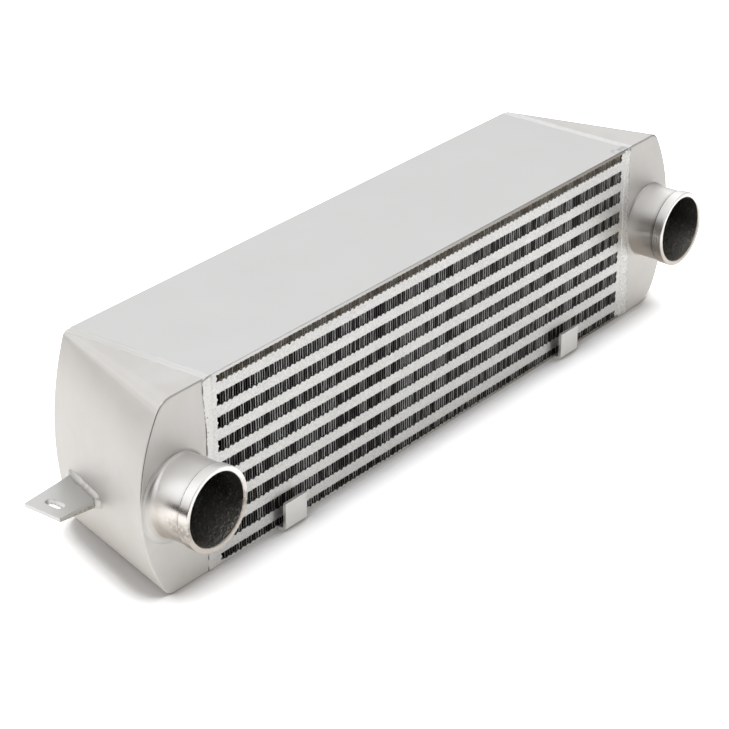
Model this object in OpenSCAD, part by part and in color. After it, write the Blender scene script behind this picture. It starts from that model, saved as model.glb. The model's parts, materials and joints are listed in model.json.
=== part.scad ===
// Charge-air cooler: a brazed bar-and-plate core between two cast end tanks.
// X runs along the core, the hose necks point to -Y and Z is up.
// The origin is the middle of the underside of the core.
// Cooling air crosses the core along Y through the folded fins that show in front.
// Charge air runs along X in the layers between them, from one tank to the other.

/* [Core] */
// Length of the core between the two tank seams
core_length = 550.6; // [300:0.2:900]
// Depth of the core from its front face to its back face
core_depth = 132.8; // [90:0.2:200]
// Number of charge-air layers
charge_layers = 8; // [3:1:8]
// Thickness of the top and bottom side plates
side_plate = 3; // [1.5:0.5:6]
// Radius on the long edges of the side plates
side_plate_round = 0.6; // [0.1:0.1:0.7]
// Thickness of the parting sheets between the layers
parting_sheet_thickness = 0.5; // [0.3:0.1:1.2]

/* [Bars] */
// Height of the bars that close a charge-air layer
charge_bar_height = 8.3; // [5:0.1:12]
// Depth of the long charge bars, front to back
charge_bar_depth = 9; // [6:0.5:14]
// Width of the end bars beside the cooling fins
end_bar_width = 11.4; // [6:0.2:18]
// How far the nose of a bar stands into its layer
bar_nose = 1.3; // [0.4:0.1:3]
// Height of the foot of that nose
bar_nose_foot = 3.6; // [1:0.1:4]

/* [Fins] */
// Height of the cooling fins between two charge layers
fin_height = 9.7; // [6:0.1:14]
// Height of the shallow fins under the side plates
outer_fin_height = 5.9; // [5:0.1:14]
// Wanted pitch of the cooling fins, one full fold
fin_pitch = 5.48; // [3.6:0.01:9]
// Wanted pitch of the fins in the charge-air layers
charge_fin_pitch = 4.2; // [3.6:0.1:8]
// Thickness of the fin sheet
fin_sheet = 0.3; // [0.15:0.05:0.5]
// Lean of the fin walls from upright, in degrees
fin_lean = 3.4; // [0:0.1:5]
// How far the cooling fins stay behind the core's faces
fin_recess = 0.6; // [0.2:0.1:3]
// How far the charge-air fins stay inside the core's ends
charge_fin_recess = 2; // [0.5:0.5:10]
// Gap between the ends of a fin and the noses beside it
fin_end_gap = 0.1; // [0.05:0.05:0.5]

/* [Left tank] */
// Left tank: distance from seam to the outer edge at the front
left_front_edge = 46; // [36:0.5:70]
// Left tank: extra bulge of the outer wall at the front, at mid-height
left_front_bulge = 26; // [20:0.5:40]
// Left tank: distance from seam to the outer edge at the back
left_back_edge = 8.5; // [7:0.5:30]
// Left tank: extra bulge of the outer wall at the back
left_back_bulge = 15.5; // [8:0.5:30]
// Left tank: radius of the long top edge at the front
left_front_crease = 18; // [6:0.5:30]
// Left tank: radius of the long bottom edge at the front
left_front_foot = 12; // [6:0.5:30]

/* [Right tank] */
// Right tank: distance from seam to the outer edge at the front
right_front_edge = 41.8; // [36:0.1:70]
// Right tank: extra bulge of the outer wall at the front
right_front_bulge = 24.5; // [20:0.5:40]
// Right tank: distance from seam to the outer edge at the back
right_back_edge = 5.5; // [5:0.5:30]
// Right tank: extra bulge of the outer wall at the back
right_back_bulge = 12; // [8:0.5:30]
// Right tank: radius of the long top edge at the front
right_front_crease = 12; // [6:0.5:30]
// Right tank: radius of the long bottom edge at the front
right_front_foot = 28; // [6:0.5:34]

/* [Tank casting] */
// Wall thickness of both tanks
tank_wall = 4; // [3:0.5:6]
// Radius of the long top and bottom edges at the back
tank_back_corner = 5; // [3:0.5:8]
// Radius round the front face
tank_front_round = 1.5; // [1:0.5:5]
// Radius round the back face
tank_back_round = 2; // [0.5:0.5:3]
// Depth of the bevel along the weld seam
seam_bevel = 0.7; // [0.2:0.1:1.5]

/* [Hose necks] */
// Outside diameter of the necks
neck_diameter = 63.5; // [50:0.5:66]
// Wall thickness of the necks
neck_wall = 2.9; // [2:0.1:4]
// How far the left neck stands out of the tank's front face
left_neck_length = 38; // [25:0.2:70]
// How far the right neck stands out of the tank's front face
right_neck_length = 36; // [25:0.2:70]
// How far the axis of the left neck lies above the middle of the core's height
left_neck_rise = 0; // [0:0.1:6]
// How far the axis of the right neck lies above the middle of the core's height
right_neck_rise = 1.6; // [0:0.1:6]
// Distance from the left seam to the axis of the left neck
left_neck_offset = 33.2; // [33:0.1:36]
// Distance from the right seam to the axis of the right neck
right_neck_offset = 32.8; // [32.5:0.1:36]
// Radius of the fillet where the neck meets the tank
neck_fillet = 2; // [1:0.5:6]
// Width of the raised collar at the mouth
collar_width = 9; // [5:0.5:14]
// Height of the collar over the neck
collar_height = 1.3; // [0.5:0.1:2.5]
// Radius on the collar's edges
collar_round = 0.9; // [0.2:0.1:1]
// Chamfer inside the mouth
mouth_chamfer = 0.8; // [0.2:0.1:1.5]

/* [Mounting tab] */
// Height of the tab's upper face over the underside of the core
tab_height = 58; // [30:0.5:120]
// Distance from the seam to the tab's tip
tab_reach = 85; // [76:0.5:110]
// Place of the tab's front edge along Y
tab_front = 2; // [-20:0.5:20]
// Width of the tab at its tip
tab_width = 36; // [24:0.5:50]
// How much wider the tab is at its root
tab_flare = 6; // [0:0.5:12]
// Thickness of the tab at its tip
tab_thickness = 3; // [2:0.5:6]
// Extra thickness of the tab at its root
tab_root_extra = 4.5; // [0:0.5:8]
// Width of the slot
slot_width = 8.4; // [5:0.1:12]
// Length of the slot from end to end
slot_length = 17.4; // [13:0.1:22]
// Distance from the tip to the middle of the slot
slot_setback = 13.5; // [10:0.5:20]
// Radius of the weld bead along the tab's root
tab_weld = 3; // [1:0.5:4]

/* [Lower hooks] */
// Width of each hook
hook_width = 25; // [15:0.5:40]
// Height of the hooks over the underside of the core
hook_height = 24; // [15:0.5:40]
// Thickness of the hook strip
hook_sheet = 2.6; // [1.5:0.1:3]
// Gap between the hook plate and the core's front face
hook_gap = 5.6; // [4.5:0.1:12]
// Outer radius of the hook's bend
hook_bend = 3.6; // [3.2:0.1:6]
// Distance from the core's left end to the middle of the left hook
left_hook_inset = 88.8; // [20:0.2:120]
// Distance from the core's right end to the middle of the right hook
right_hook_inset = 94.8; // [20:0.2:120]

/* [Hidden] */

// Height of one charge layer with its two parting sheets
charge_stack = charge_bar_height + 2 * parting_sheet_thickness;
// Height of the whole core, from underside to top
core_height = 2 * side_plate + 2 * outer_fin_height
    + (charge_layers - 1) * fin_height + charge_layers * charge_stack;
// Places of the seams, the faces and the middle of the height
seam_x = core_length / 2;
face_y = core_depth / 2;
mid_z = core_height / 2;

// Length of a cooling fin between the noses of its two end bars
fin_length = core_length - 2 * (end_bar_width + bar_nose + fin_end_gap);
// Width of a charge-air fin between the noses of its two long bars
charge_fin_width = core_depth - 2 * (charge_bar_depth + bar_nose + fin_end_gap);

// Radii of the hose neck
neck_r = neck_diameter / 2;
bore_r = neck_r - neck_wall;
collar_r = neck_r + collar_height;

// Number of straight steps along the bulge of a tank wall
bulge_steps = 28;
// Steps round the edge of a tank, as angles
round_steps = [0, 30, 60, 90];
// Fineness of arcs: sides of small and large circles, and degrees from point to point
arc_fn = 32;
round_fn = 96;
arc_step = 15;
// Overrun of a cutting shape past the face that it cuts, or of a neck into its tank's wall
past = 1;
// Thickness of the slices that a tank is drawn between
slice = 0.01;
// How far a neck's root fillet runs out over the rounded edge of the tank's face
fillet_run = 0.4;

plate_colour = [0.86, 0.86, 0.85];
bar_colour = [0.80, 0.80, 0.79];
fin_colour = [0.16, 0.16, 0.16];
tank_colour = [0.80, 0.79, 0.77];
hook_colour = [0.76, 0.76, 0.75];

// Underside of charge layer i, counted from the bottom
function charge_z(i) = side_plate + outer_fin_height + parting_sheet_thickness
    + (i - 1) * (charge_stack + fin_height);

// Underside and height of cooling layer i, counted from the bottom
function cooling_z(i) = i == 1 ? side_plate : charge_z(i - 1) + charge_stack - parting_sheet_thickness;
function cooling_height(i) = i == 1 || i == charge_layers + 1 ? outer_fin_height : fin_height;

// Underside of parting sheet i: odd sheets lie under a charge layer, even ones over it
function sheet_z(i) = i % 2 == 1
    ? charge_z((i + 1) / 2) - parting_sheet_thickness
    : charge_z(i / 2) + charge_bar_height;

// One point of an arc
function arc_point(centre, radius, angle) = centre + radius * [cos(angle), sin(angle)];

// One side of a folded strip. The side is 1 for the upper face and -1 for the lower one.
// Crest k is the flat between walls k and k + 1, and even crests are at the top.
function fold_side(length, height, folds, side) =
    let (
        half_pitch = length / (2 * folds),
        wall_run = (height - fin_sheet) * tan(fin_lean),
        corner = fin_sheet / 2 * tan((90 - fin_lean) / 2),
        crests = 2 * folds
    )
    [for (k = [0 : crests - 1])
        let (
            up = k % 2 == 0 ? 1 : -1,
            grow = up * side * corner,
            start = k == 0 ? 0 : k * half_pitch + wall_run / 2 - grow,
            end = k == crests - 1 ? length : (k + 1) * half_pitch - wall_run / 2 + grow,
            outer = up * height / 2,
            z = up == side ? outer : outer - up * fin_sheet
        )
        each [[start, z], [end, z]]
    ];

function reversed(points) = [for (i = [len(points) - 1 : -1 : 0]) points[i]];

// Closed outline of a strip folded into a row of upright walls
function fold_outline(length, height, pitch) =
    let (folds = max(2, round(length / pitch)))
    concat(fold_side(length, height, folds, 1), reversed(fold_side(length, height, folds, -1)));

// Outline of a bar: a rectangle with a pointed nose on its inner side, towards -X
function bar_outline(width, height) = [
    [0, 0],
    [width, 0],
    [width, height],
    [0, height],
    [0, (height + bar_nose_foot) / 2],
    [-bar_nose, height / 2],
    [0, (height - bar_nose_foot) / 2]
];

// Outline of a side plate's section with rounded corners on the outer face
function plate_outline(width, height, radius) = concat(
    [[-width / 2, 0], [width / 2, 0]],
    [for (a = [0 : arc_step : 90]) arc_point([width / 2 - radius, height - radius], radius, a)],
    [for (a = [90 : arc_step : 180]) arc_point([-width / 2 + radius, height - radius], radius, a)]
);

// The outer wall of a tank is an arc over the core's height.
// The edge is its distance from the seam at top and bottom, the bulge what it gains between.
function wall_radius(bulge) = (pow(mid_z, 2) + pow(bulge, 2)) / (2 * bulge);
function wall_out(z, edge, bulge) =
    edge + bulge - wall_radius(bulge) + sqrt(pow(wall_radius(bulge), 2) - pow(z - mid_z, 2));

// Tank outline in its own plane, from well behind the seam to the outer wall
function tank_outline(edge, bulge) = concat(
    [[-core_depth, 0]],
    [for (i = [0 : bulge_steps])
        let (z = core_height * i / bulge_steps)
        [wall_out(z, edge, bulge), z]],
    [[-core_depth, core_height]]
);

module side_plate_blank() {
    color(plate_colour)
        rotate([90, 0, 90])
            linear_extrude(core_length, center = true)
                polygon(plate_outline(core_depth, side_plate, side_plate_round));
}

module top_side_plate() {
    translate([0, 0, core_height - side_plate])
        side_plate_blank();
}

module bottom_side_plate() {
    translate([0, 0, side_plate])
        mirror([0, 0, 1])
            side_plate_blank();
}

// Front and rear long bars that close one charge-air layer
module charge_bars(i) {
    color(bar_colour)
        for (side = [0, 1])
            mirror([0, side, 0])
                translate([0, face_y - charge_bar_depth, charge_z(i)])
                    rotate([90, 0, 90])
                        linear_extrude(core_length, center = true)
                            polygon(bar_outline(charge_bar_depth, charge_bar_height));
}

// Left and right short bars that close one cooling layer
module end_bars(i) {
    color(bar_colour)
        for (side = [0, 1])
            mirror([side, 0, 0])
                translate([seam_x - end_bar_width, 0, cooling_z(i)])
                    rotate([90, 0, 0])
                        linear_extrude(core_depth, center = true)
                            polygon(bar_outline(end_bar_width, cooling_height(i)));
}

module parting_sheet(i) {
    color(bar_colour)
        translate([-core_length / 2, -face_y, sheet_z(i)])
            cube([core_length, core_depth, parting_sheet_thickness]);
}

// Folded fin of one cooling layer: its walls run from front to back
module cooling_fin(i) {
    color(fin_colour)
        translate([-fin_length / 2, 0, cooling_z(i) + cooling_height(i) / 2])
            rotate([90, 0, 0])
                linear_extrude(core_depth - 2 * fin_recess, center = true)
                    polygon(fold_outline(fin_length, cooling_height(i), fin_pitch));
}

// Folded fin of one charge-air layer: its walls run from tank to tank
module charge_fin(i) {
    color(fin_colour)
        translate([0, -charge_fin_width / 2, charge_z(i) + charge_bar_height / 2])
            rotate([90, 0, 90])
                linear_extrude(core_length - 2 * charge_fin_recess, center = true)
                    polygon(fold_outline(charge_fin_width, charge_bar_height, charge_fin_pitch));
}

// Outline of a tank drawn in by an inset, with its edges rounded.
// The corners are two radii, first that of the bottom edge and then that of the top edge.
module tank_section(edge, bulge, corners, inset) {
    for (half = [0, 1])
        intersection() {
            offset(r = corners[half], $fn = arc_fn)
                offset(delta = -corners[half] - inset)
                    polygon(tank_outline(edge, bulge));
            translate([-core_depth, half * mid_z])
                square([2 * core_depth, mid_z]);
        }
}

// What lies outwards of the seam, with a bevel along the top and bottom of the seam
module seam_clip(start) {
    polygon([
        [start, seam_bevel],
        [seam_bevel, 0],
        [core_depth, 0],
        [core_depth, core_height],
        [seam_bevel, core_height],
        [start, core_height - seam_bevel]
    ]);
}

// Stands a thin upright slice at a place along Y
module upright_slice(y) {
    translate([0, y, 0])
        rotate([90, 0, 0])
            linear_extrude(slice)
                children();
}

// Slices that round a tank off towards its front (side -1) or its back (side 1)
module rounded_end(side, edge, bulge, corners, radius) {
    near = side < 0 ? slice : 0;
    for (a = round_steps) {
        inset = radius * (1 - cos(a));
        upright_slice(side * (face_y - radius * (1 - sin(a))) + near)
            intersection() {
                tank_section(edge, bulge, corners, inset);
                seam_clip(a == 90 ? seam_bevel : 0);
            }
    }
}

// Outside of a tank, a wedge drawn between its front and back outlines.
// X counts outwards from the seam.
module tank_outside(front_edge, front_bulge, back_edge, back_bulge, front_corners) {
    hull() {
        rounded_end(-1, front_edge, front_bulge, front_corners, tank_front_round);
        rounded_end(1, back_edge, back_bulge, [tank_back_corner, tank_back_corner], tank_back_round);
    }
}

module left_tank_outside() {
    tank_outside(left_front_edge, left_front_bulge, left_back_edge, left_back_bulge,
        [left_front_foot, left_front_crease]);
}

module right_tank_outside() {
    tank_outside(right_front_edge, right_front_bulge, right_back_edge, right_back_bulge,
        [right_front_foot, right_front_crease]);
}

// Inside of a tank, one wall thickness behind the outside and open towards the core
module tank_inside(front_edge, front_bulge, back_edge, back_bulge, front_corners) {
    hull() {
        upright_slice(-face_y + tank_wall + slice)
            inside_section(front_edge, front_bulge, front_corners);
        upright_slice(face_y - tank_wall)
            inside_section(back_edge, back_bulge, [tank_back_corner, tank_back_corner]);
    }
}

module inside_section(edge, bulge, outer_corners) {
    corners = [for (radius = outer_corners) max(radius - tank_wall, 1)];
    intersection() {
        tank_section(edge, bulge, corners, tank_wall);
        translate([-past, 0])
            square([core_depth, core_height]);
    }
}

// Solid of a hose neck with its collar at the mouth, along +Z from the tank's face
module neck_outside(mouth) {
    shoulder = mouth - collar_width;
    rotate_extrude($fn = round_fn)
        polygon(concat(
            [[0, -past], [neck_r, -past], [neck_r, shoulder]],
            [for (a = [-90 : arc_step : 0])
                arc_point([collar_r - collar_round, shoulder + collar_round], collar_round, a)],
            [for (a = [0 : arc_step : 90])
                arc_point([collar_r - collar_round, mouth - collar_round], collar_round, a)],
            [[0, mouth]]
        ));
}

// Concave fillet at the root of a neck, on the tank's face
module neck_root_fillet() {
    rotate_extrude($fn = round_fn)
        polygon(concat(
            [[neck_r - past, -past], [neck_r + neck_fillet, -past]],
            [for (a = [270 : -arc_step : 180])
                arc_point([neck_r + neck_fillet, neck_fillet], neck_fillet, a)],
            [[neck_r - past, neck_fillet]]
        ));
}

// Bore of a neck, from its chamfered mouth to the inside of the tank
module neck_bore(mouth) {
    bore_end = tank_wall + past;
    translate([0, 0, -bore_end])
        cylinder(r = bore_r, h = bore_end + mouth + past, $fn = round_fn);
    translate([0, 0, mouth - mouth_chamfer])
        cylinder(r1 = bore_r, r2 = bore_r + mouth_chamfer, h = mouth_chamfer, $fn = round_fn);
}

// Places a neck on the tank's front face, pointing to -Y
module at_neck(offset_x, rise) {
    translate([offset_x, -face_y, mid_z + rise])
        rotate([90, 0, 0])
            children();
}

// Hose neck with the fillet at its root, cut off where it would stand past the tank's face
module neck(mouth, offset_x, rise, front_edge, front_bulge) {
    at_neck(offset_x, rise)
        neck_outside(mouth);
    intersection() {
        at_neck(offset_x, rise)
            neck_root_fillet();
        translate([0, -face_y + tank_wall, 0])
            rotate([90, 0, 0])
                linear_extrude(tank_wall + neck_fillet)
                    intersection() {
                        polygon(tank_outline(front_edge - tank_front_round + fillet_run, front_bulge));
                        square([core_depth, core_height]);
                    }
    }
}

module left_tank_side() {
    mirror([1, 0, 0])
        translate([seam_x, 0, 0])
            children();
}

// Cast tank with its neck, open towards the core
module left_tank() {
    color(tank_colour)
        left_tank_side()
            difference() {
                union() {
                    left_tank_outside();
                    neck(left_neck_length, left_neck_offset, left_neck_rise, left_front_edge,
                        left_front_bulge);
                }
                tank_inside(left_front_edge, left_front_bulge, left_back_edge, left_back_bulge,
                    [left_front_foot, left_front_crease]);
                at_neck(left_neck_offset, left_neck_rise)
                    neck_bore(left_neck_length);
            }
}

// The other tank, a little narrower and with its neck a little higher
module right_tank() {
    color(tank_colour)
        translate([seam_x, 0, 0])
            difference() {
                union() {
                    right_tank_outside();
                    neck(right_neck_length, right_neck_offset, right_neck_rise, right_front_edge,
                        right_front_bulge);
                }
                tank_inside(right_front_edge, right_front_bulge, right_back_edge, right_back_bulge,
                    [right_front_foot, right_front_crease]);
                at_neck(right_neck_offset, right_neck_rise)
                    neck_bore(right_neck_length);
            }
}

// Where the left tank's outer wall stands from the seam at a place along Y, at a height
function left_wall(y, z) =
    let (back_share = (y + face_y) / core_depth)
    wall_out(z, left_front_edge, left_front_bulge) * (1 - back_share)
    + wall_out(z, left_back_edge, left_back_bulge) * back_share;

// Plan of the tab: its front edge is square to the core, its back edge flares to the root
module tab_plan() {
    polygon([
        [0, tab_front],
        [tab_reach, tab_front],
        [tab_reach, tab_front + tab_width],
        [0, tab_front + tab_width + tab_flare]
    ]);
}

// Section of the tab along its length: flat on top and thicker below towards the root
module tab_section() {
    root = left_front_edge;
    polygon([
        [0, tab_height],
        [0, tab_height - tab_thickness - tab_root_extra],
        [root, tab_height - tab_thickness - tab_root_extra],
        [tab_reach, tab_height - tab_thickness],
        [tab_reach, tab_height]
    ]);
}

// Slot through the tab, round at both ends
module tab_slot() {
    half_run = (slot_length - slot_width) / 2;
    depth = tab_thickness + tab_root_extra + 2 * past;
    translate([tab_reach - slot_setback, tab_front + tab_width / 2, tab_height + past - depth]) {
        for (side = [-1, 1])
            translate([0, side * half_run, 0])
                cylinder(d = slot_width, h = depth, $fn = arc_fn);
        translate([-slot_width / 2, -half_run, 0])
            cube([slot_width, 2 * half_run, depth]);
    }
}

// Weld bead where the tab's upper face meets the tank's wall
module tab_bead() {
    front = tab_front + tab_weld / 2;
    back = tab_front + tab_width + tab_flare / 2;
    hull()
        for (y = [front, back])
            translate([left_wall(y, tab_height), y, tab_height - tab_weld / 2])
                sphere(r = tab_weld, $fn = arc_fn);
}

// Slotted tab, welded to the left tank's outer wall
module mounting_tab() {
    color(tank_colour)
        left_tank_side()
            difference() {
                union() {
                    intersection() {
                        linear_extrude(core_height)
                            tab_plan();
                        translate([0, core_depth, 0])
                            rotate([90, 0, 0])
                                linear_extrude(2 * core_depth)
                                    tab_section();
                    }
                    tab_bead();
                }
                tab_slot();
                left_tank_outside();
            }
}

// Section of a lower hook, a bent strip: X counts forward from the core's face
module hook_section() {
    front = hook_gap + hook_sheet;
    bend_centre = [front - hook_bend, hook_bend];
    polygon(concat(
        [[0, 0]],
        [for (a = [-90 : arc_step : 0]) arc_point(bend_centre, hook_bend, a)],
        [[front, hook_height], [hook_gap, hook_height]],
        [for (a = [0 : -arc_step : -90]) arc_point(bend_centre, hook_bend - hook_sheet, a)],
        [[0, hook_sheet]]
    ));
}

// Hook welded to the front edge of the bottom side plate
module lower_hook(middle) {
    color(hook_colour)
        translate([middle, -face_y, 0])
            mirror([0, 1, 0])
                rotate([90, 0, 90])
                    linear_extrude(hook_width, center = true)
                        hook_section();
}

module left_hook() {
    lower_hook(left_hook_inset - seam_x);
}

module right_hook() {
    lower_hook(seam_x - right_hook_inset);
}

top_side_plate();
bottom_side_plate();
for (i = [1 : charge_layers]) {
    charge_bars(i);
    charge_fin(i);
}
for (i = [1 : charge_layers + 1]) {
    end_bars(i);
    cooling_fin(i);
}
for (i = [1 : 2 * charge_layers])
    parting_sheet(i);
left_tank();
right_tank();
mounting_tab();
left_hook();
right_hook();
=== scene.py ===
# %% [markdown]
# # A charge-air cooler in a white studio
# The object is an aluminium cooler: a brazed core of bars, sheets and folded fins between two cast
# end tanks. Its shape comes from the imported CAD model, which loads here as a fixed frame.
# This file gives every part of it the finish of the real one, and adds what only shows up close.

# %% Load the frame
import json
import math

import bpy
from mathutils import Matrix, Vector, noise
from mathutils.bvhtree import BVHTree


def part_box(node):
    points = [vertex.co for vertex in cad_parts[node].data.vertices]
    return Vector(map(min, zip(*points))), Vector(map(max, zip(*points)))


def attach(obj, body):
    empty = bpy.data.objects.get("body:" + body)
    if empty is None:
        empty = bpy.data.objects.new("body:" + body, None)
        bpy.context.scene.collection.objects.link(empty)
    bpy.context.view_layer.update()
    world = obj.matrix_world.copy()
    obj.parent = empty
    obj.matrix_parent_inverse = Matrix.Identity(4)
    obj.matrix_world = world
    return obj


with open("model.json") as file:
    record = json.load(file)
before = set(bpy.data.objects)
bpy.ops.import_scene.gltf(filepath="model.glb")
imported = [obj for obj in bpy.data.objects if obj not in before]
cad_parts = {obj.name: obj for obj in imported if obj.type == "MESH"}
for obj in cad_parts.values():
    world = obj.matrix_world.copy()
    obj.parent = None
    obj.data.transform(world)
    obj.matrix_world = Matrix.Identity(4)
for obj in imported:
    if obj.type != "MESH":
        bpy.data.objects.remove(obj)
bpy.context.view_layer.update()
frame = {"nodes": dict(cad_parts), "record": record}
nodes = frame["nodes"]

# %% [markdown]
# Later cells need a few places on the cooler: the seams where the tanks meet the core, the core's
# front face and its top, and the axes of the two hose necks. They are read from the frame, so that
# each detail stays on what carries it. The necks' axes are mounts in the part's record.

# %% Places on the cooler
SEAM, FACE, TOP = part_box("top_side_plate")[1]
mounts = {mount["name"]: mount for mount in frame["record"]["mounts"]}
neck_axis = {side: Vector(mounts[side + "_neck_bore"]["pos_m"]) for side in ("left", "right")}
mouth = {side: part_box(side + "_tank")[0].y for side in ("left", "right")}
BORE = mounts["left_neck_bore"]["dims"]["r_mm"] / 1000
COLLAR = 0.009  # from the mouth to the back of the raised collar
print("seams at", round(SEAM, 4), "core face at", round(FACE, 4), "top at", round(TOP, 4))
print("mouths at", {side: round(y, 4) for side, y in mouth.items()})

# %% [markdown]
# The camera stands where the photograph was taken from: well back, to the left of the front, and
# looking down on the cooler. A long lens from far away keeps the long edges nearly parallel, so
# the two numbers that matter are the angle and the distance. A camera looks along its own -Z axis,
# and to_track_quat turns that axis towards the target.

# %% Camera
AZIMUTH, ELEVATION = math.radians(-51.69), math.radians(26.97)
TARGET = Vector((-0.00864, 0, 0.04299))
DISTANCE = 2.1202

back = Vector((math.sin(AZIMUTH) * math.cos(ELEVATION),
               -math.cos(AZIMUTH) * math.cos(ELEVATION),
               math.sin(ELEVATION)))
lens = bpy.data.cameras.new("camera")
lens.lens, lens.sensor_width = 128.03, 36
lens.clip_start, lens.clip_end = 0.1, 50
camera = bpy.data.objects.new("camera", lens)
camera.location = TARGET + DISTANCE * back
camera.rotation_mode = "QUATERNION"
camera.rotation_quaternion = (-back).to_track_quat("-Z", "Y")
bpy.context.scene.collection.objects.link(camera)
bpy.context.scene.camera = camera
bpy.context.scene.view_settings.view_transform = "Standard"
print("camera at", [round(v, 3) for v in camera.location])

# %% [markdown]
# A finish is a tree of shader nodes. Written out node by node, even a short sum is long, so one
# small class wraps a socket and lets Python's own signs add the Math nodes: `1 - mask` works.

# %% Shader maths
class Amount:
    """A number that varies over a surface: wraps one output socket."""

    def __init__(self, finish, socket):
        self.finish, self.socket = finish, socket

    def combine(self, operation, first, second=0.0):
        return self.finish.node("ShaderNodeMath", {"operation": operation}, {0: first, 1: second})

    def __add__(self, other):
        return self.combine("ADD", self, other)

    def __sub__(self, other):
        return self.combine("SUBTRACT", self, other)

    def __rsub__(self, other):
        return self.combine("SUBTRACT", other, self)

    def __mul__(self, other):
        return self.combine("MULTIPLY", self, other)

    def __truediv__(self, other):
        return self.combine("DIVIDE", self, other)

    def __pow__(self, other):
        return self.combine("POWER", self, other)

    def __gt__(self, other):
        return self.combine("GREATER_THAN", self, other)

    def __lt__(self, other):
        return self.combine("LESS_THAN", self, other)

    def __abs__(self):
        return self.combine("ABSOLUTE", self)

    __radd__, __rmul__ = __add__, __mul__

    def step(self, low, high):
        """0 below low and 1 above high, smooth between; the other way round if low is larger."""
        return self.finish.node("ShaderNodeMapRange", {"interpolation_type": "SMOOTHSTEP"},
                                {"Value": self, "From Min": low, "From Max": high})


print("signs that add nodes: + - * / ** > < abs")

# %% [markdown]
# The second half of that small language is the finish itself: it owns the material, adds any node
# by its type, and has short words for what metal needs, such as noise of a stated grain size.
# Grain sizes are in metres, because the place of a point is taken from the cooler's own frame.

# %% Finishes
class Finish:
    """A material under construction: a Principled surface and the nodes that feed it."""

    def __init__(self, name, **fixed):
        self.material = bpy.data.materials.new(name)
        self.material.use_nodes = True
        self.tree = self.material.node_tree
        self.surface = self.tree.nodes["Principled BSDF"]
        self.set(fixed)

    def set(self, values):
        for name, value in values.items():
            self.feed(self.surface.inputs[name.replace("_", " ")], value)

    def feed(self, socket, value):
        if isinstance(value, Amount):
            self.tree.links.new(value.socket, socket)
        elif isinstance(value, tuple) and socket.type == "RGBA":
            socket.default_value = (*value, 1)
        else:
            socket.default_value = value

    def node(self, kind, settings=None, sockets=None, out=0):
        made = self.tree.nodes.new(kind)
        for name, value in (settings or {}).items():
            setattr(made, name, value)
        for name, value in (sockets or {}).items():
            self.feed(made.inputs[name], value)
        return Amount(self, made.outputs[out])

    def place(self):
        """Where a point lies on the cooler, in metres."""
        return self.node("ShaderNodeTexCoord", out="Object")

    def axes(self, vector):
        split = self.node("ShaderNodeSeparateXYZ", {}, {0: vector})
        outputs = split.socket.node.outputs
        return [Amount(self, outputs[i]) for i in range(3)]

    def noise(self, size, stretch=(1, 1, 1), detail=2.0, rough=0.5):
        """Noise from 0 to 1, with grains of about this size, longer along the stretched axes."""
        where = self.node("ShaderNodeVectorMath", {"operation": "MULTIPLY"},
                          {0: self.place(), 1: tuple(1 / s for s in stretch)})
        return self.node("ShaderNodeTexNoise", {},
                         {"Vector": where, "Scale": 1 / size, "Detail": detail, "Roughness": rough})

    def mix(self, factor, first, second):
        """A colour between two others."""
        return self.node("ShaderNodeMix", {"data_type": "RGBA"},
                         {0: factor, 6: first, 7: second}, out=2)

    def blend(self, factor, first, second):
        """A number between two others."""
        return self.node("ShaderNodeMix", {"data_type": "FLOAT"}, {0: factor, 2: first, 3: second})

    def bump(self, height, depth, under=None):
        """Bends the normal by a height from 0 to 1, of which 1 stands for this depth."""
        sockets = {"Height": height, "Distance": depth}
        if under:
            sockets["Normal"] = under
        return self.node("ShaderNodeBump", {}, sockets)


def tone(red, green, blue):
    """A colour as it shows on the screen, as the linear values that Blender works with."""
    return tuple(((part + 0.055) / 1.055) ** 2.4 if part > 0.04045 else part / 12.92
                 for part in (red, green, blue))


print("a mid tone of 0.5 is", [round(c, 3) for c in tone(0.5, 0.5, 0.5)], "in linear values")

# %% [markdown]
# The tanks are welded on, and the welder ground the bead flat on top. What is left is a bright
# band across the seam, a little askew, with a faint dark line along each side. It runs over the
# tank and the side plate alike, so both finishes ask the same helper where the band lies. The
# left band is faint with two broken lines, the right one is bright and mottled with soft edges.

# %% The ground band at a seam
BAND_TONE, RIM_TONE = tone(0.93, 0.93, 0.925), tone(0.58, 0.57, 0.6)
HALF_WIDTH = {"left": 0.0042, "right": 0.0034}


def ground_band(finish, x, y, z):
    """How much of the bright ground band a point shows, and how much of its dark rims."""
    out = abs(x) - SEAM
    left = x < 0
    middle = finish.blend(left, 0.0002, 0.0016 + 0.0437 * y)
    wobble = (finish.noise(0.012, detail=3) - 0.5) * 0.0022
    half_width = finish.blend(left, HALF_WIDTH["right"], HALF_WIDTH["left"])
    across = abs(out - middle + wobble) / half_width
    near_top = z.step(TOP - 0.0015, TOP - 0.0004)
    mottle = finish.noise(0.003, detail=3).step(0.3, 0.6)
    fading = 0.12 + 0.28 * y.step(0.02, -0.05)
    inside = across.step(1.35, 0.75) * near_top * finish.blend(left, 0.55 + 0.45 * mottle, fading)
    broken = finish.noise(0.009, detail=3).step(0.38, 0.58)
    rim = across.step(0.86, 1.0) * across.step(1.14, 1.0) * near_top * broken * left
    return inside, rim


print("ground bands in mm:", {side: round(2000 * half, 1) for side, half in HALF_WIDTH.items()})
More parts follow.
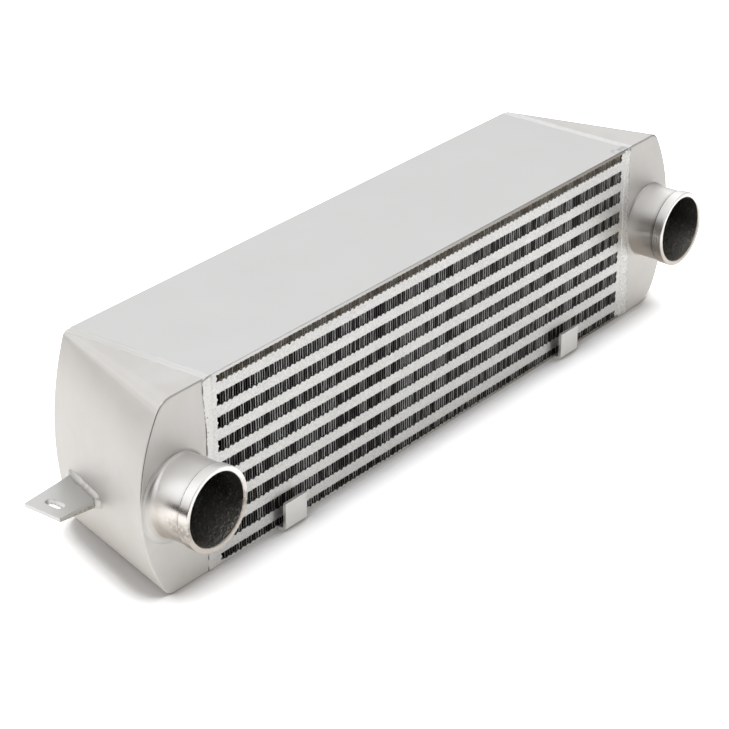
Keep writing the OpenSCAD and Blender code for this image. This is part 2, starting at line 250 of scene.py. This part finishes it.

# %% [markdown]
# The side plates are rolled aluminium, blasted to a fine even satin. Up close there is a grain of
# under a millimetre, and over a hand's width the tone drifts a little. Painted shade darkens the
# front edge, more towards the right end. A dark smudge lies at the right end of the front edge,
# beside the weld.

# %% Side plates
plate = Finish("blasted_plate", Metallic=1.0)
x, y, z = plate.axes(plate.place())
inside, rim = ground_band(plate, x, y, z)
cloud = plate.noise(0.05, detail=3)
grain = plate.noise(0.0009, detail=2)
brushed = plate.noise(0.0012, stretch=(6, 1, 1), detail=2)
metal = plate.mix(cloud * 0.7 + grain * 0.3, tone(0.815, 0.815, 0.808), tone(0.855, 0.855, 0.85))
metal = plate.mix(inside * 0.6, metal, BAND_TONE)
metal = plate.mix(rim * 0.3, metal, RIM_TONE)
# Painted shade along the plate's front edge, growing towards the right end.
front_edge_shade = y.step(-FACE + 0.0006, -FACE + 0.0002)
metal = plate.mix(front_edge_shade * x.step(-0.25, 0.25), metal, tone(0.58, 0.56, 0.53))
smudge_x, smudge_y = SEAM - 0.011, -FACE + 0.004
smudge = (((x - smudge_x) / 0.014) ** 2 + ((y - smudge_y) / 0.006) ** 2).step(1.0, 0.2)
patches = plate.noise(0.005, detail=3).step(0.42, 0.6)
metal = plate.mix(smudge * patches * 0.5, metal, tone(0.6, 0.6, 0.6))
plate.set({
    "Base Color": metal,
    "Roughness": plate.blend(inside, 0.42 + 0.1 * cloud, 0.34 + 0.1 * brushed),
    "Normal": plate.bump(plate.blend(inside, grain, brushed), 0.00003, plate.bump(cloud, 0.0004)),
})
print("plate finish:", len(plate.tree.nodes), "nodes")

# %% [markdown]
# The bars were blasted with a coarser grit after brazing: their faces sparkle in light and dark
# specks. The parting sheets between them melt into the bars, so they share the finish.

# %% Bars and sheets
bar = Finish("blasted_bar", Metallic=1.0)
cloud = bar.noise(0.03, detail=3)
grain = bar.noise(0.0011, detail=3, rough=0.7)
dark_speck, pale_speck = tone(0.775, 0.775, 0.767), tone(0.895, 0.895, 0.89)
bar.set({
    "Base Color": bar.mix(grain.step(0.3, 0.7), dark_speck, pale_speck),
    "Roughness": 0.38 + 0.14 * cloud,
    "Normal": bar.bump(grain, 0.00006),
})
print("bar finish:", len(bar.tree.nodes), "nodes")

# %% [markdown]
# Each tank is one casting, so one finish covers all of it and finds its regions by their place.
# Every region is a mask, a number that is 1 inside it, 0 outside and smooth between. The necks
# stand in front of the core's face, and how far a point lies from their axis tells the bore from
# the outside. The way that a face looks, its normal, tells the outer wall, the crease above the
# left neck and the sharp edges beside the front face from the rest.

# %% Regions of a tank
cast = Finish("cast_tank", Metallic=1.0)
x, y, z = cast.axes(cast.place())
facing = cast.axes(cast.node("ShaderNodeTexCoord", out="Normal"))
right_side = x > 0
axis_x = cast.blend(right_side, neck_axis["left"].x, neck_axis["right"].x)
axis_z = cast.blend(right_side, neck_axis["left"].z, neck_axis["right"].z)
mouth_y = cast.blend(right_side, mouth["left"], mouth["right"])
down = axis_z - z
reach = ((x - axis_x) ** 2 + down ** 2) ** 0.5
shoulder = y - mouth_y - COLLAR

neck = y.step(-FACE - 0.0012, -FACE - 0.003)
root = reach.step(0.0321, 0.0335) * neck * y.step(-FACE - 0.012, -FACE - 0.009)
bore = reach.step(BORE + 0.0009, BORE + 0.0003) * y.step(-FACE + 0.012, -FACE + 0.004)
lip = abs(y - mouth_y).step(0.0011, 0.0006)
groove = abs(shoulder).step(0.001, 0.0004) * neck
behind_collar = shoulder.step(-0.0003, 0.0005) * shoulder.step(0.0042, 0.0008)
topside = (z - axis_z).step(0.008, 0.022)
underside = down.step(-0.004, 0.012)
low_side = down.step(0.0, BORE)
flank = down.step(-0.006, 0.002) * down.step(0.015, 0.006)

outer_wall = facing[0].step(-0.5, -0.8)
crease = abs(facing[2] - 0.8).step(0.06, 0.0) * facing[0].step(-0.2, -0.4) * z.step(0.12, 0.13)
upright = abs(facing[0]).step(0.35, 0.6) * facing[1].step(-0.35, -0.6) * z.step(0.08, 0.1)
brow = facing[2].step(0.3, 0.6) * facing[1].step(-0.3, -0.6) * z.step(0.13, 0.14)
inside, rim = ground_band(cast, x, y, z)
print("masks of the tanks:", len(cast.tree.nodes), "nodes")

# %% [markdown]
# The walls were blasted and then sanded by hand, which leaves a soft uneven tone. Painted light
# makes the outer wall palest high up and along the crease, and painted shade darkens it low down.
# The necks were turned on a lathe, which leaves fine rings; a painted highlight lies on their tops
# and painted shade under them. Painted shade darkens the edges beside the front face, a broken line
# at the back of the collar and a band just behind it, and a painted dark reflection lies on the
# left neck's flank. The bore's rough cast skin is dark, partly its own tone and partly painted
# shade; painted light makes its lower side lighter, and its pits carry painted glints, most below.

# %% Colours of a tank
cloud = cast.noise(0.035, detail=3)
grain = cast.noise(0.0009, detail=2)
shade_patches = cast.noise(0.004, detail=3)
pits = cast.noise(0.0022, detail=3, rough=0.65)
rings = cast.noise(0.0006, stretch=(60, 1, 60), detail=2)

blasted = cloud.step(0.3, 0.7) * 0.7 + grain * 0.3
metal = cast.mix(blasted, tone(0.825, 0.816, 0.8), tone(0.865, 0.86, 0.85))
# Painted shade: the outer wall is darker low down.
metal = cast.mix(outer_wall * z.step(0.1, 0.05) * 0.5, metal, tone(0.79, 0.78, 0.76))
# Painted highlight: the outer wall is palest high up, away from the neck.
high_wall_highlight = outer_wall * z.step(0.09, 0.14) * (1 - neck)
metal = cast.mix(high_wall_highlight * 0.7, metal, tone(0.935, 0.925, 0.905))
metal = cast.mix(inside * 0.6, metal, BAND_TONE)
metal = cast.mix(rim * 0.3, metal, RIM_TONE)
# Painted highlight along the crease, brightest towards the front.
metal = cast.mix(crease * (0.4 + 0.6 * y.step(0.05, -0.066)), metal, tone(0.985, 0.985, 0.975))
# Painted shade on the upright edges beside the front face.
metal = cast.mix(upright * 0.75, metal, tone(0.36, 0.35, 0.34))
# Painted shade on the edge along the top of the front face.
metal = cast.mix(brow * 0.35, metal, tone(0.5, 0.49, 0.48))

turned = cast.mix(rings, tone(0.83, 0.81, 0.785), tone(0.91, 0.895, 0.875))
# Painted shade under the necks and a painted highlight on their tops.
turned = cast.mix(underside * 0.85, turned, tone(0.71, 0.68, 0.645))
turned = cast.mix(topside, turned, tone(0.985, 0.98, 0.97))
metal = cast.mix(neck * (1 - root), metal, turned)

# Painted shade: a broken dark line at the back of the collar.
groove_breaks = shade_patches.step(cast.blend(right_side, 0.25, 0.0), cast.blend(right_side, 0.55, 0.3))
metal = cast.mix(groove * groove_breaks * 0.85, metal, tone(0.32, 0.3, 0.27))
# Painted shade: a dark band just behind the collar, strongest on the right neck.
band_shade = behind_collar * (1 - topside * 0.6) * cast.blend(right_side, 0.25, 0.6)
metal = cast.mix(band_shade, metal, tone(0.5, 0.48, 0.44))
# Painted reflection: a dark band on the left neck's flank near the collar.
flank_reflection = flank * shoulder.step(0.016, 0.002) * neck * (1 - right_side) * shade_patches.step(0.25, 0.6)
metal = cast.mix(flank_reflection * 0.6, metal, tone(0.4, 0.38, 0.35))

# The bore's dark cast skin, partly painted shade, and lighter on its lower side with painted light.
bore_skin_and_light = cast.mix(low_side, tone(0.4, 0.39, 0.37), tone(0.8, 0.79, 0.77))
# Painted glints on the pits of the bore, most on the lower side.
pit_glints = pits.step(0.56, 0.64) * (cast.blend(right_side, 0.3, 0.08) + 0.7 * low_side)
bore_skin_and_light = cast.mix(pit_glints, bore_skin_and_light, tone(0.98, 0.97, 0.95))
metal = cast.mix(bore * (1 - lip), metal, bore_skin_and_light)
print("masks and colours of the tanks:", len(cast.tree.nodes), "nodes")

# %% [markdown]
# The blasted walls are dull, the ground band shines along its scratches, and the necks shine more
# towards the collar, where the tool finished them best. The bumps are shallow: the hollows of a
# cast wall are wide and soft, and only the pits in the bore are deep enough to feel.

# %% Shine and relief of a tank
brushed = cast.noise(0.0012, stretch=(6, 1, 1), detail=2)
wall_rough = cast.blend(inside, 0.5 + 0.14 * cloud, 0.3 + 0.1 * brushed)
polish = shoulder.step(0.024, 0.002) * (1 - topside)
neck_rough = cast.blend(polish, 0.5, cast.blend(right_side, 0.13, 0.25) + 0.06 * rings)
rough = cast.blend(neck, wall_rough, cast.blend(root, neck_rough, 0.6))
relief = cast.bump(cast.blend(neck, grain, rings), 0.00002, cast.bump(cloud, 0.0003))
cast.set({
    "Base Color": metal,
    "Roughness": cast.blend(bore, rough, 0.4),
    "Normal": cast.bump(pits * bore, 0.001, relief),
})
print("tank finish:", len(cast.tree.nodes), "nodes")

# %% [markdown]
# The folded fins are thin sheet in deep shade, of which every wall only catches light along the
# cut end: that makes the fine regular comb of the rows. That shade is painted into the fins' own
# colour, in darker and lighter patches, and the cut ends carry painted light. Noise that hardly
# changes up and down gives each end its own strength. The top row lies just under the side plate
# and is browner and duller than the others.

# %% Fins
PITCH = 0.00548
BROWN = tone(0.80, 0.76, 0.70)
TOP_ROW = TOP - 0.0088, TOP - 0.0080

fin = Finish("folded_fin", Metallic=1.0)
x, y, z = fin.axes(fin.place())
top_row = z.step(*TOP_ROW)
shade_patches = fin.noise(0.0045, stretch=(1, 9, 9), detail=2).step(0.35, 0.65)
# The fins' dark colour is painted shade, in patches.
shade = fin.mix(shade_patches, tone(0.14, 0.14, 0.13), tone(0.3, 0.3, 0.3))
fin.set({
    "Base Color": fin.mix(top_row, shade, BROWN),
    "Roughness": 0.3 + 0.2 * shade_patches,
})

fin_end = Finish("fin_end", Metallic=1.0)
x, y, z = fin_end.axes(fin_end.place())
top_row = z.step(*TOP_ROW)
strength = fin_end.noise(0.0035, stretch=(1, 40, 40), detail=2).step(0.38, 0.58)
# Painted light along the cut ends.
lit = fin_end.mix(strength, tone(0.46, 0.45, 0.44), tone(0.99, 0.99, 0.98))
fin_end.set({
    "Base Color": fin_end.mix(top_row * 0.5, lit, BROWN),
    "Roughness": 0.4,
})
print("fin finishes:", len(fin.tree.nodes), "and", len(fin_end.tree.nodes), "nodes")

# %% [markdown]
# The tab and the two hooks were cut from plate. Their faces are smooth satin, and the sawn sides
# of the tab are rough with dark grooves. A face tells which way it looks by its normal.

# %% Tab and hooks
tab = Finish("sawn_tab", Metallic=1.0)
facing = tab.axes(tab.node("ShaderNodeTexCoord", out="Normal"))
x, y, z = tab.axes(tab.place())
below_top = z.step(0.0552, 0.0544)
sawn = (abs(facing[2]) < 0.75) * below_top
cloud = tab.noise(0.02, detail=3)
saw = tab.noise(0.0012, stretch=(2, 2, 1), detail=4, rough=0.75)
grooves = sawn * saw.step(0.55, 0.35)
tab.set({
    "Base Color": tab.mix(grooves, tone(0.8, 0.8, 0.79), tone(0.5, 0.49, 0.46)),
    "Roughness": 0.32 + 0.12 * cloud,
    "Normal": tab.bump(saw * sawn, 0.0003, tab.bump(cloud, 0.0002)),
})

hook = Finish("satin_strip", Metallic=1.0)
cloud = hook.noise(0.01, detail=3)
grain = hook.noise(0.0008, detail=2)
satin = cloud * 0.6 + grain * 0.4
hook.set({
    "Base Color": hook.mix(satin, tone(0.84, 0.84, 0.83), tone(0.89, 0.89, 0.88)),
    "Roughness": 0.34 + 0.1 * cloud,
    "Normal": hook.bump(grain, 0.00003, hook.bump(cloud, 0.0001)),
})
print("tab finish:", len(tab.tree.nodes), "nodes, hook finish:", len(hook.tree.nodes), "nodes")

# %% [markdown]
# Each CAD part takes the finish of its slot in the record. The mesh stays as it came: only the
# material in its slot changes.

# %% Dress the parts
finishes = {"side_plate": plate, "bar": bar, "parting_sheet": bar, "cooling_fin": fin,
            "charge_fin": fin, "tank": cast, "tab": tab, "hook": hook}
slots = {part["node"]: part["material_slot"] for part in frame["record"]["subparts"]}
for name, part in nodes.items():
    part.data.materials.clear()
    part.data.materials.append(finishes[slots[name]].material)
print("dressed", len(nodes), "parts in", len(set(slots.values())), "slots")

# %% [markdown]
# Everything that is added to the CAD parts is swept: a closed cross-section is carried along a
# path, one ring of points after the other, and neighbouring rings are bridged with faces. The
# helper closes both ends with caps, or joins the last ring to the first one.

# %% Sweep a section along a path
def sweep(name, rings, finish, closed=False, smooth=True):
    """A solid through rings of points, all with the same number of points."""
    size, count = len(rings[0]), len(rings)
    points = [tuple(point) for ring in rings for point in ring]
    faces = []
    for i in range(count if closed else count - 1):
        here, there = i * size, (i + 1) % count * size
        faces += [(here + j, here + (j + 1) % size, there + (j + 1) % size, there + j)
                  for j in range(size)]
    if not closed:
        faces += [tuple(reversed(range(size))), tuple(range((count - 1) * size, count * size))]
    mesh = bpy.data.meshes.new(name)
    mesh.from_pydata(points, [], faces)
    mesh.validate()
    if smooth:
        mesh.shade_smooth()
    mesh.materials.append(finish.material)
    piece = bpy.data.objects.new(name, mesh)
    bpy.context.scene.collection.objects.link(piece)
    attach(piece, "root")
    print(name, "has", len(mesh.polygons), "faces")
    return piece


def crusty(place, size, seed):
    """Noise from about -1 to 1, with lumps of about this size."""
    return noise.fractal(place / size + Vector((seed, 0, 0)), 1.0, 2.0, 3)


def ease(value, low, high):
    """The same smooth step as in the finishes, for a plain number."""
    t = min(1, max(0, (value - low) / (high - low)))
    return t * t * (3 - 2 * t)


print("a quarter of the way, the smooth step is at", ease(0.25, 0, 1))

# %% [markdown]
# The seam weld goes once round the core's end. In front it is a pale band that lies on the ends
# of the bars and laps over the tank's edge, by an amount that changes with the height because the
# tank was not quite square to the core. The mesh needs that amount for a plain height and the
# finish for a varying one, so the helper is handed the smooth step of the height and works for
# both.

# %% Where the seam weld ends
LAPS = {
    "left": {"base": 0.0011, "top": 0.0032, "foot": 0.0022, "foot_from": 0.07},
    "right": {"base": 0.0004, "top": 0.0, "foot": 0.0062, "foot_from": 0.13},
}


def lap(side, step):
    """How far the weld laps over the tank's edge: a base, more at the top and more at the foot."""
    at = LAPS[side]
    return at["base"] + at["top"] * step(0.11, 0.16) + at["foot"] * step(at["foot_from"], 0.0)


def lap_at(side, height):
    """The same at a plain height."""
    return lap(side, lambda low, high: ease(height, low, high))


for side in LAPS:
    print(side, "lap at foot, middle and top, in mm:",
          [round(1000 * lap_at(side, height), 1) for height in (0.0, TOP / 2, TOP)])

# %% [markdown]
# Each ring of the weld runs from the tank inwards over the core. The metal stands highest close
# to the tank's edge, with a lump where the welder stopped at the top corner. On top, behind and
# underneath it was ground flush and only fills the bevel. The rings' undersides are sunk into the
# parts, so that no gap shows.

# %% Seam welds
PROFILE = [(0.0, 0.5), (0.0004, 0.9), (0.0011, 1.0), (0.0022, 0.8), (0.0038, 0.5), (0.0058, 0.22),
           (0.0075, 0.0)]
WIDTH = PROFILE[-1][0]
SPACING = 0.0008


def seam_section(side, corner, outward, flush, heap, seed):
    """One ring of the seam weld: its face from the tank to the core, then its sunk underside."""
    sign = -1 if side == "left" else 1
    ring = []
    for inward, share in PROFILE:
        if flush:
            x, lift = SEAM + 0.0006 - inward / 12, -0.00004
        else:
            start = SEAM + lap_at(side, corner.z)
            place = Vector((inward, corner.y, corner.z))
            ragged = 0.0003 * crusty(place, 0.005, seed + 7)
            x = start - inward * (start - SEAM + WIDTH) / WIDTH + ragged
            bead = heap + heap * 0.35 * crusty(place, 0.0028, seed)
            lift = share * bead + (0.00004 if share > 0 else -0.00015)
        ring.append(Vector((sign * x, corner.y, corner.z)) + outward * lift)
    sunk = [Vector((end.x, corner.y, corner.z)) - 0.0005 * outward for end in (ring[-1], ring[0])]
    return ring + sunk


def seam_weld(side, heap, seed, finish):
    """The whole weld of one seam: up the front, over the top, down the back and along the foot."""
    corners = [(-FACE, 0.0), (-FACE, TOP), (FACE, TOP), (FACE, 0.0)]
    outwards = [(-1, 0), (0, 1), (1, 0), (0, -1)]
    rings = []
    for k in range(4):
        start, end = Vector(corners[k]), Vector(corners[(k + 1) % 4])
        outward = Vector((0, *outwards[k]))
        steps = round((end - start).length / SPACING)
        for i in range(1, steps):
            corner = Vector((0, *start.lerp(end, i / steps)))
            lump = 0.0009 * math.exp(-((TOP - corner.z - 0.003) / 0.0028) ** 2)
            rings.append(seam_section(side, corner, outward, k > 0, heap + lump, seed))
    return sweep(side + "_seam_weld", rings, finish, closed=True)


print("the seam weld is", round(1000 * WIDTH, 1), "mm wide on the core")

# %% [markdown]
# The weld metal is pale and crusty in front, of a coarser grit on the right. Its finish knows
# where the tank's edge lies and paints a broken line of shadow beside it, with a few dark dots
# just inside, where the bead left pinholes.

# %% Weld metal
def weld_finish(name, side, pale, dark, grit):
    weld = Finish(name, Metallic=1.0)
    x, y, z = weld.axes(weld.place())
    inward = SEAM + lap(side, z.step) - abs(x)
    in_front = y.step(-FACE + 0.001, -FACE + 0.0003)
    crust = weld.noise(grit, detail=3, rough=0.65)
    broken = weld.noise(0.004, detail=2).step(0.35, 0.6)
    # Painted shadow: a broken dark line beside the tank's edge.
    line = inward.step(0.0013, 0.0004) * broken * in_front
    beside_line = inward.step(0.001, 0.0016) * inward.step(0.0036, 0.003)
    dots = weld.noise(0.0026, detail=1).step(0.68, 0.74) * beside_line
    metal = weld.mix(crust.step(0.3, 0.7), dark, pale)
    metal = weld.mix(dots * 0.8, metal, tone(0.35, 0.34, 0.33))
    metal = weld.mix(in_front, tone(0.87, 0.87, 0.86), metal)
    weld.set({
        "Base Color": weld.mix(line * 0.85, metal, tone(0.25, 0.24, 0.23)),
        "Roughness": 0.36 + 0.2 * crust,
        "Normal": weld.bump(crust, grit * 0.06),
    })
    return weld


left_weld = weld_finish("left_weld_metal", "left",
                        tone(0.9, 0.9, 0.89), tone(0.83, 0.83, 0.82), 0.0014)
right_weld = weld_finish("right_weld_metal", "right",
                         tone(0.92, 0.92, 0.91), tone(0.76, 0.76, 0.75), 0.0018)
seam_weld("left", 0.00035, 3.0, left_weld)
seam_weld("right", 0.0009, 11.0, right_weld)

# %% [markdown]
# The left neck grows out of its tank in a soft curve that is wider on the outer and lower side,
# up to the tank's own edge. Nothing may stand out past that edge, so the path round the neck
# first asks how much room the face has in each direction, with a ray shot from outside towards
# the neck's axis.

# %% Soft root of the left neck
tank = nodes["left_tank"].data
tank_skin = BVHTree.FromPolygons([corner.co for corner in tank.vertices],
                                 [tuple(face.vertices) for face in tank.polygons])
NECK = mounts["left_hose_collar"]["dims"]["r_mm"] / 1000 - 0.0013
TURNS, BENDS = 144, 10
centre = Vector((neck_axis["left"].x, -FACE, neck_axis["left"].z))
rings = []
for i in range(TURNS):
    turn = 2 * math.pi * i / TURNS
    way = Vector((math.cos(turn), 0, math.sin(turn)))
    start = centre + Vector((0, 0.0004, 0)) + 0.15 * way
    room = (tank_skin.ray_cast(start, -way)[0] - centre).dot(way) - NECK - 0.0014
    outer_side = max(0, way.dot(Vector((-0.9, 0, -0.44))))
    wide = min(0.0022 + 0.005 * outer_side ** 0.7, max(room, 0.0006))
    tall = 0.0024 + 0.006 * outer_side
    ring = []
    for k in range(BENDS + 1):
        bend = math.pi / 2 * k / BENDS
        ring.append(centre + way * (NECK + wide * (1 - math.cos(bend)) + 0.00003)
                    + Vector((0, -tall * (1 - math.sin(bend)) - 0.00002, 0)))
    ring.append(centre + way * (NECK + wide) + Vector((0, 0.0005, 0)))
    ring.append(centre + way * (NECK - 0.0008) + Vector((0, 0.0005, 0)))
    ring.append(centre + way * (NECK - 0.0008) + Vector((0, -tall - 0.0005, 0)))
    rings.append(ring)
sweep("left_neck_root", rings, cast, closed=True)

# %% [markdown]
# The tab is welded on as well, with a low smooth fillet between it and the wall. The fillet follows
# the curved wall, so its path is found with rays too, shot at the tank from the side. Its section
# has one leg on the wall and one on the tab, with a slight bulge between them.

# %% Tab weld
def on_wall(y, z):
    """The point of the left tank's outer wall at this place along Y and this height."""
    return tank_skin.ray_cast(Vector((-1, y, z)), Vector((1, 0, 0)))[0]


STEP, CLIMB = 0.0006, 13  # between two points of the path, and points up each side of the tab
low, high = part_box("mounting_tab")
tab_top = low.z + 0.0075
front, rear = 0.0012, high.y - 0.0004
path = [on_wall(front, low.z + i * STEP) for i in range(CLIMB)]
path += [on_wall(front + i * STEP, tab_top) for i in range(1, int((rear - front) / STEP))]
path += [on_wall(rear, tab_top - i * STEP) for i in range(CLIMB)]
rings = []
for i, point in enumerate(path):
    ahead = (path[min(i + 1, len(path) - 1)] - path[max(i - 1, 0)]).normalized()
    on_top = CLIMB - 1 < i < len(path) - CLIMB
    out = Vector((-1, 0, 0.25 if on_top else 0.0)).normalized()
    aside = ahead.cross(out).normalized()
    thinner = 1 - 0.45 * ease(point.y, rear - 0.008, rear)
    leg = (0.0038 + 0.0007 * crusty(point, 0.006, 1.0)) * thinner
    ring = []
    for k in range(9):
        t = k / 8
        bulge = (0.002 + 0.00015 * math.sin(i * 0.7)) * t * (1 - t)
        ring.append(point + (leg * t + bulge) * out + (leg * 1.2 * (1 - t) + bulge) * aside)
    ring += [point + leg * out - 0.0008 * aside,
             point - 0.001 * out - 0.0008 * aside,
             point - 0.001 * out + 1.2 * leg * aside]
    rings.append(ring)
sweep("tab_weld", rings, cast)

# %% [markdown]
# The cut ends of the folded fins are what one sees of the core from in front. They were cut and
# brazed by machine, yet no two look alike: walls bow and lean a little. For each row a ribbon
# follows the fold that the CAD part has, a little bent at every step, and stands just in front of
# it. Its chances come from noise, so they are the same at every run.

# %% Cut ends of the fins
def fold_steps(row):
    """A row's lowest and highest corner, its number of folds and the length of half a fold."""
    lo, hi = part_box("cooling_fin_%d" % row)
    folds = max(2, round((hi.x - lo.x) / PITCH))
    return lo, hi, folds, (hi.x - lo.x) / (2 * folds)


def chance(row, k, size, offset):
    """A length of up to this size, which differs from wall to wall and from row to row."""
    return size * noise.noise(Vector((k * 0.83, row * 3.7, offset)))


def fin_ends(row):
    lo, hi, folds, half = fold_steps(row)
    path = []
    for k in range(2 * folds):
        x0, x1 = lo.x + k * half + 0.0001, lo.x + (k + 1) * half - 0.0001
        shift, bow = chance(row, k, 0.0003, 5), chance(row, k, 0.00015, 0)
        crest = hi.z - 0.0003 if k % 2 == 0 else lo.z + 0.0001
        path += [(x0 + shift, crest), (x1 + shift, crest),
                 (x1 + 0.0001 + bow, (lo.z + hi.z) / 2)]
    path = path[:-1]
    front, rear = Vector((0, -FACE - 0.0001, 0)), Vector((0, -FACE + 0.0007, 0))
    rings = []
    for i, (x, z) in enumerate(path):
        before, after = path[max(i - 1, 0)], path[min(i + 1, len(path) - 1)]
        along = Vector((after[0] - before[0], 0, after[1] - before[1])).normalized()
        side = Vector((along.z, 0, -along.x)) * 0.00014
        here = Vector((x, 0, z))
        rings.append([here + side + front, here - side + front,
                      here - side + rear, here + side + rear])
    sweep("fin_ends_%d" % row, rings, fin_end, smooth=False)


print("folds in a row:", fold_steps(1)[2])

# %% [markdown]
# The folds' lower ends were pressed over the bar below, where they hang as loops in shade. Each
# loop is drawn as a solid tooth in the fins' dark colour, which is painted shade. The teeth of a
# row are one long strip, which dips over the bar at every second fold and is only a thin edge
# between them.

# %% Teeth under the folds
def fin_teeth(row):
    lo, hi, folds, half = fold_steps(row)
    rings = []
    for k in range(1, 2 * folds, 2):
        x0 = lo.x + k * half - 0.0003 + chance(row, k, 0.0005, 5)
        x1 = lo.x + (k + 1) * half + 0.0003 + chance(row, k, 0.0005, 7)
        drop = 0.0011 + chance(row, k, 0.0009, 3)
        for step in range(7):
            t = step / 6
            x, top = x0 + (x1 - x0) * t, lo.z + 0.0006
            bottom = lo.z + 0.0002 - drop * math.sin(math.pi * t) ** 0.6
            outline = ((-0.0003, top), (-0.0003, bottom), (0.0005, bottom), (0.0005, top))
            rings.append([Vector((x, -FACE + depth, height)) for depth, height in outline])
    # The teeth take the fins' dark colour: painted shade that fills each loop.
    sweep("fin_teeth_%d" % row, rings, fin, smooth=False)


for row in range(1, 10):
    fin_ends(row)
    fin_teeth(row)

# %% [markdown]
# Bare metal has hardly any colour of its own: it shows the room. What room the photograph was
# taken in is worked out from the reflections. The floor is white paper. Above and behind the
# cooler hangs a wide soft light, while the side of the camera is dark, and a dark strip at the
# horizon leaves the brown band on the round necks. The sky of Blender's world is painted that
# way, by the direction of a ray.

# %% Room
class Studio(Finish):
    """The world's shader, written with the same words as a finish."""

    def __init__(self, world):
        world.use_nodes = True
        self.tree = world.node_tree
        self.surface = self.tree.nodes["Background"]


bpy.context.scene.world = bpy.data.worlds.new("studio")
studio = Studio(bpy.context.scene.world)
across, along, height = studio.axes(studio.node("ShaderNodeTexCoord", out="Generated"))
camera_side = along.step(0.1, -0.5)
foot = 0.08 + 0.36 * camera_side
open_sky = height.step(foot, foot + 0.2)
softbox = height.step(0.45, 0.62) * height.step(0.95, 0.75) * (1 - camera_side)
seen = studio.node("ShaderNodeLightPath", out="Is Camera Ray")
room = studio.mix(open_sky, (0.06, 0.05, 0.045), (1.0, 1.0, 1.01))
studio.set({
    "Color": studio.mix(seen, room, (1.0, 1.0, 1.0)),
    "Strength": 1 + 0.35 * softbox * (1 - seen),
})
print("the room is painted with", len(studio.tree.nodes), "nodes")

# %% [markdown]
# The floor is a large sheet of white paper. In the photograph it is exposed until it turns pure
# white, and only the shadow close to the metal stays grey. Rays from the camera and from shiny
# metal meet that overexposed paper, while the light that it throws back stays at a plain level.
# Where the cooler closes off most of the sky, within a few centimetres, an occlusion node paints
# that shadow into the paper's colour. Beyond about a metre the paper's colour as shiny metal sees
# it is painted dark, which shows as part of the dark horizon.

# %% Floor
bpy.ops.mesh.primitive_plane_add(size=30)
floor = bpy.context.object
floor.name = "floor"
paper = Finish("paper")
paper.tree.nodes.remove(paper.surface)
from_camera = paper.node("ShaderNodeLightPath", out="Is Camera Ray")
from_gloss = paper.node("ShaderNodeLightPath", out="Is Glossy Ray")
# Painted shadow: the paper's colour darkens where the cooler closes off the sky.
open_air = paper.node("ShaderNodeAmbientOcclusion", {"samples": 16}, {"Distance": 0.036}, out=1)
contact_shadow = open_air.combine("MINIMUM", (1 - open_air) * 2, 1.0)
x, y, z = paper.axes(paper.place())
# Painted darkness: beyond about a metre, the paper as metal sees it turns dark.
lit = ((x ** 2 + y ** 2) ** 0.5).step(1.7, 0.65)
in_metal = paper.mix(contact_shadow, (1.5, 1.49, 1.47), (1.1, 1.07, 1.04))
in_metal = paper.mix(lit, (0.05, 0.04, 0.035), in_metal)
in_view = paper.mix(contact_shadow ** 1.5, (1.9, 1.9, 1.9), (0.62, 0.61, 0.6))
white = paper.mix(from_gloss, (0.85, 0.85, 0.85), in_metal)
white = paper.mix(from_camera, white, in_view)
sheet = paper.node("ShaderNodeBsdfDiffuse", {}, {"Color": white})
paper.feed(paper.tree.nodes["Material Output"].inputs["Surface"], sheet)
floor.data.materials.append(paper.material)
print("floor of", floor.dimensions.x, "m")
